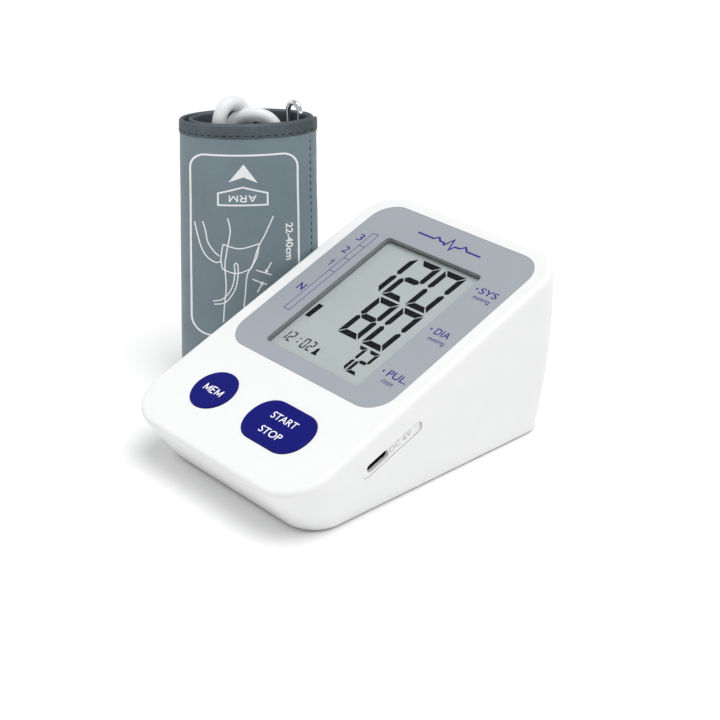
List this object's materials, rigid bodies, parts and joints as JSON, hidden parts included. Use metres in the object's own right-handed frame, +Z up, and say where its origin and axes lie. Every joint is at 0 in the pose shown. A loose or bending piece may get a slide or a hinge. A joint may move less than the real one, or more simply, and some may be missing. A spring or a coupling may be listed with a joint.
{
  "type": "upper arm blood pressure monitor",
  "caption": "Wedge-shaped digital blood pressure monitor with a sloping display panel and two blue keys, beside its rolled arm cuff holding a coiled air hose.",
  "frame": {"origin": "on the table, under the centre of the box round the monitor and its rolled cuff", "axes": "+X to the monitor's right, +Y from its front edge to its back, +Z up"},
  "size_m": [0.1446, 0.1386, 0.1211],
  "materials": {
    "housing": "satin white moulded plastic, fine texture",
    "panel": "semi-gloss grey panel",
    "window": "clear gloss window",
    "lcd": "grey-green liquid crystal cell",
    "reflector": "satin reflector foil",
    "carrier": "plain moulded plastic",
    "zebra": "banded conductive elastomer",
    "board": "green solder mask",
    "chip": "black moulded package",
    "can": "drawn steel can",
    "capacitor": "shrink sleeve",
    "blue_key": "satin deep blue",
    "switch": "black moulded plastic",
    "switch_plunger": "cream moulded plastic",
    "socket": "black moulded plastic",
    "contact": "gold-plated contact",
    "spring_steel": "nickel-plated spring steel",
    "screw": "zinc-plated steel",
    "foot_rubber": "soft grey-black rubber",
    "battery": "plain printed sleeve",
    "motor_can": "drawn steel can",
    "magnet": "sintered ferrite",
    "bush": "sintered bronze",
    "shaft": "ground steel",
    "winding": "enamelled copper on laminations",
    "pump_plastic": "natural acetal",
    "diaphragm": "moulded rubber",
    "foam": "closed-cell foam",
    "tube": "translucent silicone",
    "jack": "light grey moulded plastic",
    "cuff_cloth": "blue-grey woven nylon",
    "lining_cloth": "blue-grey woven nylon",
    "binding": "dark woven binding tape",
    "fastener_cloth": "touch-fastener loops and hooks",
    "bladder_rubber": "moulded bladder film",
    "ring_chrome": "polished plated wire",
    "hose": "satin pale grey flexible hose",
    "plug": "white moulded plastic"
  },
  "bodies": {
    "monitor": {"upper_housing": "housing", "lower_housing": "housing", "rubber_feet": "foot_rubber", "housing_screws": "screw", "board_screws": "screw", "display_panel": "panel", "lcd_window": "window", "lcd_cell": "lcd", "lcd_reflector": "reflector", "lcd_holder": "carrier", "lcd_connector": "zebra", "main_board": "board", "controller_chip": "chip", "crystal": "can", "capacitor": "capacitor", "buzzer": "chip", "pressure_sensor": "chip", "memory_switch": "switch", "start_switch": "switch", "dc_socket": "socket", "dc_socket_tongue": "contact", "battery_cells": "battery", "battery_plates": "spring_steel", "battery_springs": "spring_steel", "pump_motor": "motor_can", "motor_magnets": "magnet", "motor_bushes": "bush", "pump_head": "pump_plastic", "pump_diaphragm": "diaphragm", "pump_cradle": "foam", "valve_body": "pump_plastic", "valve_spring": "spring_steel", "air_cross": "pump_plastic", "pump_tube": "tube", "valve_tube": "tube", "sensor_tube": "tube", "jack_tube": "tube", "air_jack": "jack"},
    "memory_key": {"memory_button": "blue_key", "memory_switch_plunger": "switch_plunger"},
    "start_key": {"start_button": "blue_key", "start_switch_plunger": "switch_plunger"},
    "battery_door": {"battery_door": "housing"},
    "pump_rotor": {"motor_shaft": "shaft", "motor_rotor": "winding", "pump_crank": "pump_plastic"},
    "valve_plunger": {"valve_plunger": "shaft"},
    "cuff": {"cuff_shell": "cuff_cloth", "bladder": "bladder_rubber", "cuff_lining": "lining_cloth", "top_binding": "binding", "bottom_binding": "binding", "loop_patch": "fastener_cloth", "hook_patch": "fastener_cloth", "ring_sleeve": "lining_cloth", "hose_port": "plug", "air_hose": "hose", "air_plug": "plug"},
    "d_ring": {"d_ring": "ring_chrome"}
  },
  "joints": [
    {"name": "memory_button_press", "type": "slide", "parent": "monitor", "child": "memory_key", "axis": [0, 0.3518, -0.9361], "range_m": [0, 0.0005], "stiffness_N_per_m": 2000, "springref_m": -0.0005},
    {"name": "start_button_press", "type": "slide", "parent": "monitor", "child": "start_key", "axis": [0, 0.3518, -0.9361], "range_m": [0, 0.0005], "stiffness_N_per_m": 2000, "springref_m": -0.0005},
    {"name": "battery_door_hinge", "type": "hinge", "parent": "monitor", "child": "battery_door", "pos_m": [0.02191, 0.0029, 0.0018], "axis": [1, 0, 0], "range_deg": [-80, 0]},
    {"name": "pump_spin", "type": "hinge", "parent": "monitor", "child": "pump_rotor", "pos_m": [0.02191, 0.0414, 0.0345], "axis": [1, 0, 0], "continuous": true},
    {"name": "valve_slide", "type": "slide", "parent": "monitor", "child": "valve_plunger", "axis": [1, 0, 0], "range_m": [0, 0.001], "stiffness_N_per_m": 150, "springref_m": -0.001},
    {"name": "cuff_lift", "type": "slide", "parent": "monitor", "child": "cuff", "axis": [0, 0, 1], "range_m": [0, 0.15]},
    {"name": "d_ring_swing", "type": "hinge", "parent": "cuff", "child": "d_ring", "pos_m": [-0.03583, 0.02757, 0.06], "axis": [0, 0, 1], "range_deg": [0, 10]}
  ]
}
